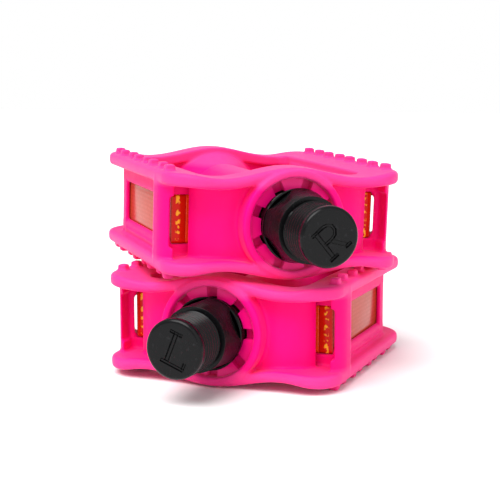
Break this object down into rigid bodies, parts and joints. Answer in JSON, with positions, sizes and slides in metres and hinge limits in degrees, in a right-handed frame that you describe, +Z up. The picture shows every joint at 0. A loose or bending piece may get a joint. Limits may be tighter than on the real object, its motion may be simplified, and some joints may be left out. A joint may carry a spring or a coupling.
{
  "type": "pair of children's bicycle pedals",
  "caption": "Pair of small pink plastic bicycle pedals with amber side reflectors and black threaded spindles, one stacked crosswise on the other.",
  "frame": {"origin": "bottom centre of the pair's bounding box, on the surface the left pedal's teeth stand on", "axes": "-Y along the left pedal's spindle towards its threaded end, +Z up"},
  "size_m": [0.0834, 0.0946, 0.056],
  "materials": {
    "pink_plastic": "moulded fluorescent pink plastic, satin gloss",
    "black_spindle": "glossy black oxide with a film of oil",
    "bearing_steel": "zinc plated, turned",
    "ball_steel": "polished, greased",
    "amber_lens": "clear amber lens with moulded prisms",
    "amber_back": "amber backing shell"
  },
  "bodies": {
    "left_pedal": {"left_cage": "pink_plastic", "left_keeper_ring": "pink_plastic", "left_inboard_cup": "bearing_steel", "left_outboard_cup": "bearing_steel", "left_end_cap": "pink_plastic", "left_front_reflector_lens": "amber_lens", "left_front_reflector_back": "amber_back", "left_rear_reflector_lens": "amber_lens", "left_rear_reflector_back": "amber_back"},
    "left_spindle": {"left_spindle": "black_spindle", "left_cone_nut": "bearing_steel", "left_lock_washer": "bearing_steel", "left_lock_nut": "bearing_steel"},
    "left_inboard_balls": {"left_inboard_balls": "ball_steel"},
    "left_outboard_balls": {"left_outboard_balls": "ball_steel"},
    "right_pedal": {"right_cage": "pink_plastic", "right_keeper_ring": "pink_plastic", "right_inboard_cup": "bearing_steel", "right_outboard_cup": "bearing_steel", "right_end_cap": "pink_plastic", "right_front_reflector_lens": "amber_lens", "right_front_reflector_back": "amber_back", "right_rear_reflector_lens": "amber_lens", "right_rear_reflector_back": "amber_back"},
    "right_spindle": {"right_spindle": "black_spindle", "right_cone_nut": "bearing_steel", "right_lock_washer": "bearing_steel", "right_lock_nut": "bearing_steel"},
    "right_inboard_balls": {"right_inboard_balls": "ball_steel"},
    "right_outboard_balls": {"right_outboard_balls": "ball_steel"}
  },
  "joints": [
    {"name": "right_pedal_lift", "type": "slide", "parent": "left_pedal", "child": "right_pedal", "axis": [0, 0, 1], "range_m": [0, 0.12]},
    {"name": "left_spindle_spin", "type": "hinge", "parent": "left_pedal", "child": "left_spindle", "pos_m": [0.00407, -0.02669, 0.0137], "axis": [0, -1, 0], "continuous": true},
    {"name": "left_inboard_balls_roll", "type": "hinge", "parent": "left_pedal", "child": "left_inboard_balls", "pos_m": [0.00407, -0.02079, 0.0137], "axis": [0, -1, 0], "continuous": true},
    {"name": "left_outboard_balls_roll", "type": "hinge", "parent": "left_pedal", "child": "left_outboard_balls", "pos_m": [0.00407, 0.02961, 0.0137], "axis": [0, -1, 0], "continuous": true},
    {"name": "right_spindle_spin", "type": "hinge", "parent": "right_pedal", "child": "right_spindle", "pos_m": [0.02241, -0.01834, 0.03974], "axis": [0.6812, -0.7313, -0.0349], "continuous": true},
    {"name": "right_inboard_balls_roll", "type": "hinge", "parent": "right_pedal", "child": "right_inboard_balls", "pos_m": [0.01839, -0.01402, 0.03995], "axis": [0.6812, -0.7313, -0.0349], "continuous": true},
    {"name": "right_outboard_balls_roll", "type": "hinge", "parent": "right_pedal", "child": "right_outboard_balls", "pos_m": [-0.01594, 0.02283, 0.0417], "axis": [0.6812, -0.7313, -0.0349], "continuous": true}
  ],
  "couplings": [
    {"joint": "left_inboard_balls_roll", "follows": "left_spindle_spin", "ratio": 0.4123},
    {"joint": "left_outboard_balls_roll", "follows": "left_spindle_spin", "ratio": 0.3937},
    {"joint": "right_inboard_balls_roll", "follows": "right_spindle_spin", "ratio": 0.4123},
    {"joint": "right_outboard_balls_roll", "follows": "right_spindle_spin", "ratio": 0.3937}
  ]
}
